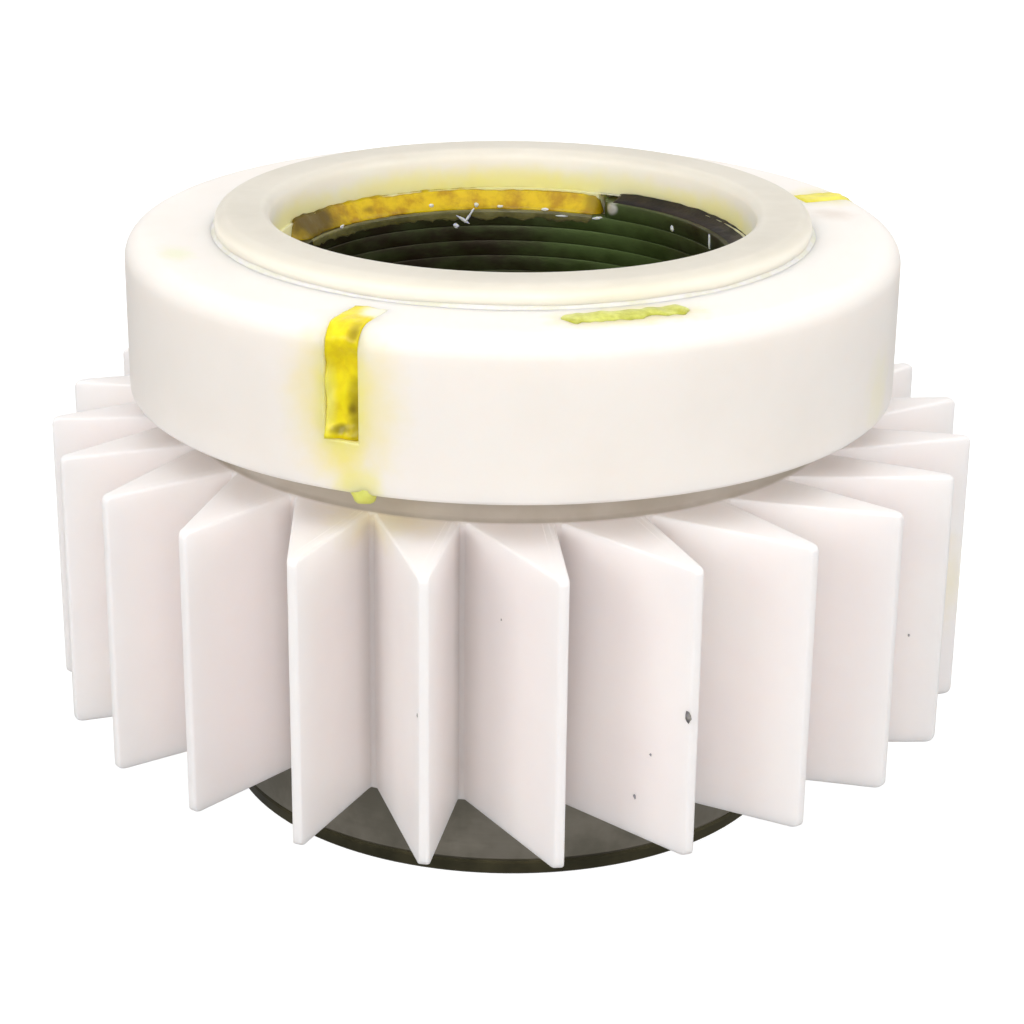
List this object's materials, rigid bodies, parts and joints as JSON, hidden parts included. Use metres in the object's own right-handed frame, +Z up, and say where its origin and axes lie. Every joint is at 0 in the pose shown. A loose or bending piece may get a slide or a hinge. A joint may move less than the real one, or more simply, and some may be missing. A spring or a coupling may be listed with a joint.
{
  "type": "toothed stop collar",
  "caption": "Toothed stop collar of a wrap spring clutch: white plastic ratchet wheel and slotted collar around a close-wound spring, turning on a steel hub.",
  "frame": {"origin": "centre of the hub's flat foot, on the common axis", "axes": "+Z up the common axis from the foot to the sleeve's lip; -Y is the front, the side that the reference view looks at"},
  "size_m": [0.0796, 0.0796, 0.051],
  "materials": {
    "white_plastic": "machined acetal, slightly translucent",
    "sleeve_plastic": "machined acetal, tinted by grease",
    "hub_steel": "turned, oiled",
    "black_steel": "blackened, oiled",
    "screw_steel": "zinc plated",
    "spring_steel": "dark oiled wire",
    "bronze": "sintered, oiled",
    "seal_rubber": "smooth",
    "grease": "wet, translucent"
  },
  "bodies": {
    "hub": {"output_hub": "hub_steel", "end_plate": "black_steel", "end_plate_screws": "screw_steel", "lower_shaft_bush": "bronze", "upper_shaft_bush": "bronze", "lower_thrust_washer": "bronze", "upper_thrust_washer": "bronze", "hub_snap_ring": "black_steel", "spring_seat": "hub_steel"},
    "sleeve": {"inner_sleeve": "sleeve_plastic", "journal_bush": "bronze", "lower_o_ring": "seal_rubber", "upper_o_ring": "seal_rubber"},
    "collar": {"toothed_wheel": "white_plastic", "retaining_wire": "black_steel", "slotted_collar": "white_plastic", "collar_dowels": "screw_steel", "front_stop_key": "black_steel", "rear_stop_key": "black_steel", "drive_spring": "spring_steel"}
  },
  "joints": [
    {"name": "sleeve_spin", "type": "hinge", "parent": "hub", "child": "sleeve", "pos_m": [0, 0, 0.009], "axis": [0, 0, 1], "continuous": true},
    {"name": "collar_release", "type": "hinge", "parent": "sleeve", "child": "collar", "pos_m": [0, 0, 0.036], "axis": [0, 0, 1], "range_deg": [-12, 0]}
  ]
}
